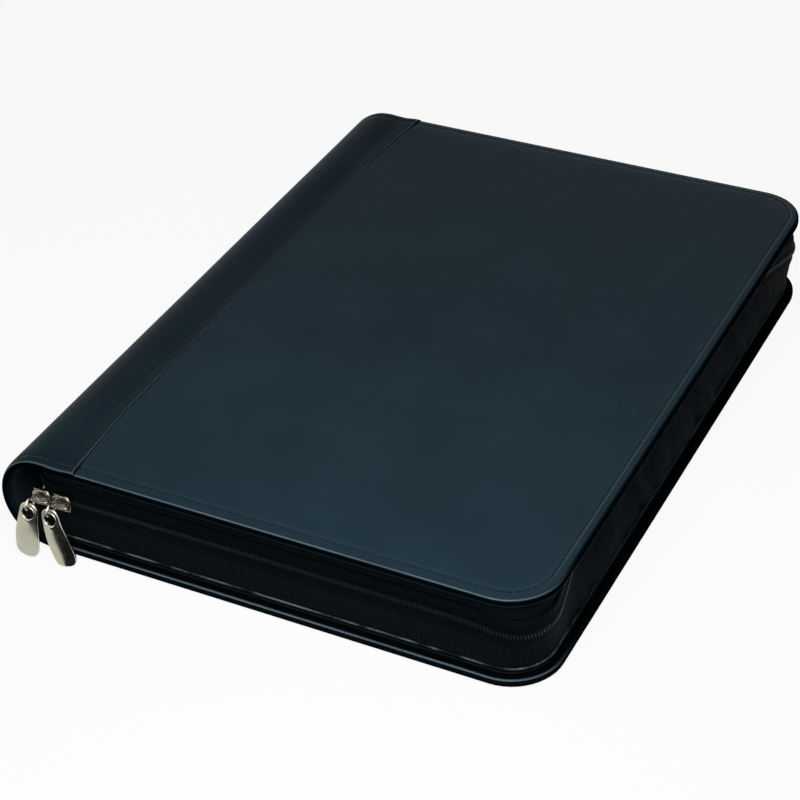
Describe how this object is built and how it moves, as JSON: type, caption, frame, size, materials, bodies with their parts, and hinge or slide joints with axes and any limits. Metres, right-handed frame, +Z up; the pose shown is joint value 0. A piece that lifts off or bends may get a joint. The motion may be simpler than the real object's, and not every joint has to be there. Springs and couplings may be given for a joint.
{
  "type": "leather ring binder",
  "caption": "Zip-around leather ring binder for A4 sheets: padded covers, folding spine, nylon gusset with a two-slider zip, and a lever ring mechanism inside.",
  "frame": {"origin": "centre of the covers, on the outer face of the back cover, which the closed binder lies on", "axes": "+X from the spine to the fore edge, +Y along the spine away from the side with the sliders, +Z up through the front cover"},
  "size_m": [0.265, 0.3544, 0.05],
  "materials": {
    "leather": "smooth blue-black leather, fine grain, satin",
    "board": "stiffening board between leather and lining",
    "lining": "black woven lining",
    "gusset_nylon": "black woven nylon",
    "zip_tape": "black herringbone tape",
    "zip_coil": "black nylon coil, semi-gloss",
    "ring_steel": "nickel-plated sprung steel, polished",
    "nickel": "polished nickel",
    "satin_nickel": "satin nickel with polished edges"
  },
  "bodies": {
    "back_cover": {"back_leather": "leather", "back_board": "board", "back_lining": "lining", "lower_gusset": "gusset_nylon", "gusset_piping": "gusset_nylon", "lower_zip_tape": "zip_tape", "lower_zip_coil": "zip_coil", "ring_sheath": "ring_steel", "ring_rivet_1": "ring_steel", "ring_rivet_2": "ring_steel"},
    "spine_lower": {"spine_leather_lower": "leather", "spine_lining_lower": "lining"},
    "spine_upper": {"spine_leather_upper": "leather", "spine_lining_upper": "lining"},
    "front_cover": {"front_panel": "leather", "spine_strip_edge": "leather", "front_board": "board", "front_lining": "lining", "upper_gusset": "gusset_nylon", "upper_zip_tape": "zip_tape", "upper_zip_coil": "zip_coil", "document_pocket": "lining", "card_pocket_1": "lining", "card_pocket_2": "lining", "card_pocket_3": "lining"},
    "ring_left": {"ring_plate_left": "ring_steel", "half_ring_left_1": "ring_steel", "half_ring_left_2": "ring_steel", "half_ring_left_3": "ring_steel", "half_ring_left_4": "ring_steel"},
    "ring_right": {"ring_plate_right": "ring_steel", "half_ring_right_1": "ring_steel", "half_ring_right_2": "ring_steel", "half_ring_right_3": "ring_steel", "half_ring_right_4": "ring_steel"},
    "lever_near": {"ring_lever_near": "ring_steel"},
    "lever_far": {"ring_lever_far": "ring_steel"},
    "slider_1": {"slider_1": "nickel"},
    "link_1": {"slider_link_1": "nickel"},
    "pull_1": {"slider_pull_1": "satin_nickel"},
    "slider_2": {"slider_2": "nickel"},
    "link_2": {"slider_link_2": "nickel"},
    "pull_2": {"slider_pull_2": "satin_nickel"}
  },
  "joints": [
    {"name": "cover_open", "type": "hinge", "parent": "back_cover", "child": "spine_lower", "pos_m": [-0.11256, 0, 0], "axis": [0, -1, 0], "range_deg": [0, 40]},
    {"name": "spine_fold_middle", "type": "hinge", "parent": "spine_lower", "child": "spine_upper", "pos_m": [-0.1325, 0, 0.025], "axis": [0, -1, 0], "range_deg": [0, 100]},
    {"name": "spine_fold_top", "type": "hinge", "parent": "spine_upper", "child": "front_cover", "pos_m": [-0.11256, 0, 0.05], "axis": [0, -1, 0], "range_deg": [0, 40]},
    {"name": "ring_open", "type": "hinge", "parent": "back_cover", "child": "ring_right", "pos_m": [-0.08335, 0, 0.00675], "axis": [0, 1, 0], "range_deg": [0, 14]},
    {"name": "ring_open_left", "type": "hinge", "parent": "back_cover", "child": "ring_left", "pos_m": [-0.10165, 0, 0.00675], "axis": [0, -1, 0], "range_deg": [0, 14]},
    {"name": "lever_near_press", "type": "hinge", "parent": "back_cover", "child": "lever_near", "pos_m": [-0.0925, -0.14, 0.0072], "axis": [1, 0, 0], "range_deg": [0, 28]},
    {"name": "lever_far_press", "type": "hinge", "parent": "back_cover", "child": "lever_far", "pos_m": [-0.0925, 0.14, 0.0072], "axis": [-1, 0, 0], "range_deg": [0, 28]},
    {"name": "slider_1_slide", "type": "slide", "parent": "back_cover", "child": "slider_1", "axis": [1, 0, 0], "range_m": [-0.003, 0.0002]},
    {"name": "link_1_swing", "type": "hinge", "parent": "slider_1", "child": "link_1", "pos_m": [-0.112, -0.1757, 0.0295], "axis": [-1, 0, 0], "range_deg": [0, 60]},
    {"name": "pull_1_swing", "type": "hinge", "parent": "link_1", "child": "pull_1", "pos_m": [-0.112, -0.179, 0.02711], "axis": [-1, 0, 0], "range_deg": [0, 25]},
    {"name": "slider_2_slide", "type": "slide", "parent": "back_cover", "child": "slider_2", "axis": [1, 0, 0], "range_m": [0, 0.2]},
    {"name": "link_2_swing", "type": "hinge", "parent": "slider_2", "child": "link_2", "pos_m": [-0.101, -0.1757, 0.0295], "axis": [-1, 0, 0], "range_deg": [0, 60]},
    {"name": "pull_2_swing", "type": "hinge", "parent": "link_2", "child": "pull_2", "pos_m": [-0.101, -0.179, 0.02711], "axis": [-1, 0, 0], "range_deg": [0, 25]}
  ],
  "couplings": [
    {"joint": "spine_fold_middle", "follows": "cover_open", "ratio": 2.5},
    {"joint": "spine_fold_top", "follows": "cover_open", "ratio": 1},
    {"joint": "ring_open_left", "follows": "ring_open", "ratio": 1},
    {"joint": "lever_near_press", "follows": "ring_open", "ratio": 2},
    {"joint": "lever_far_press", "follows": "ring_open", "ratio": 2}
  ]
}
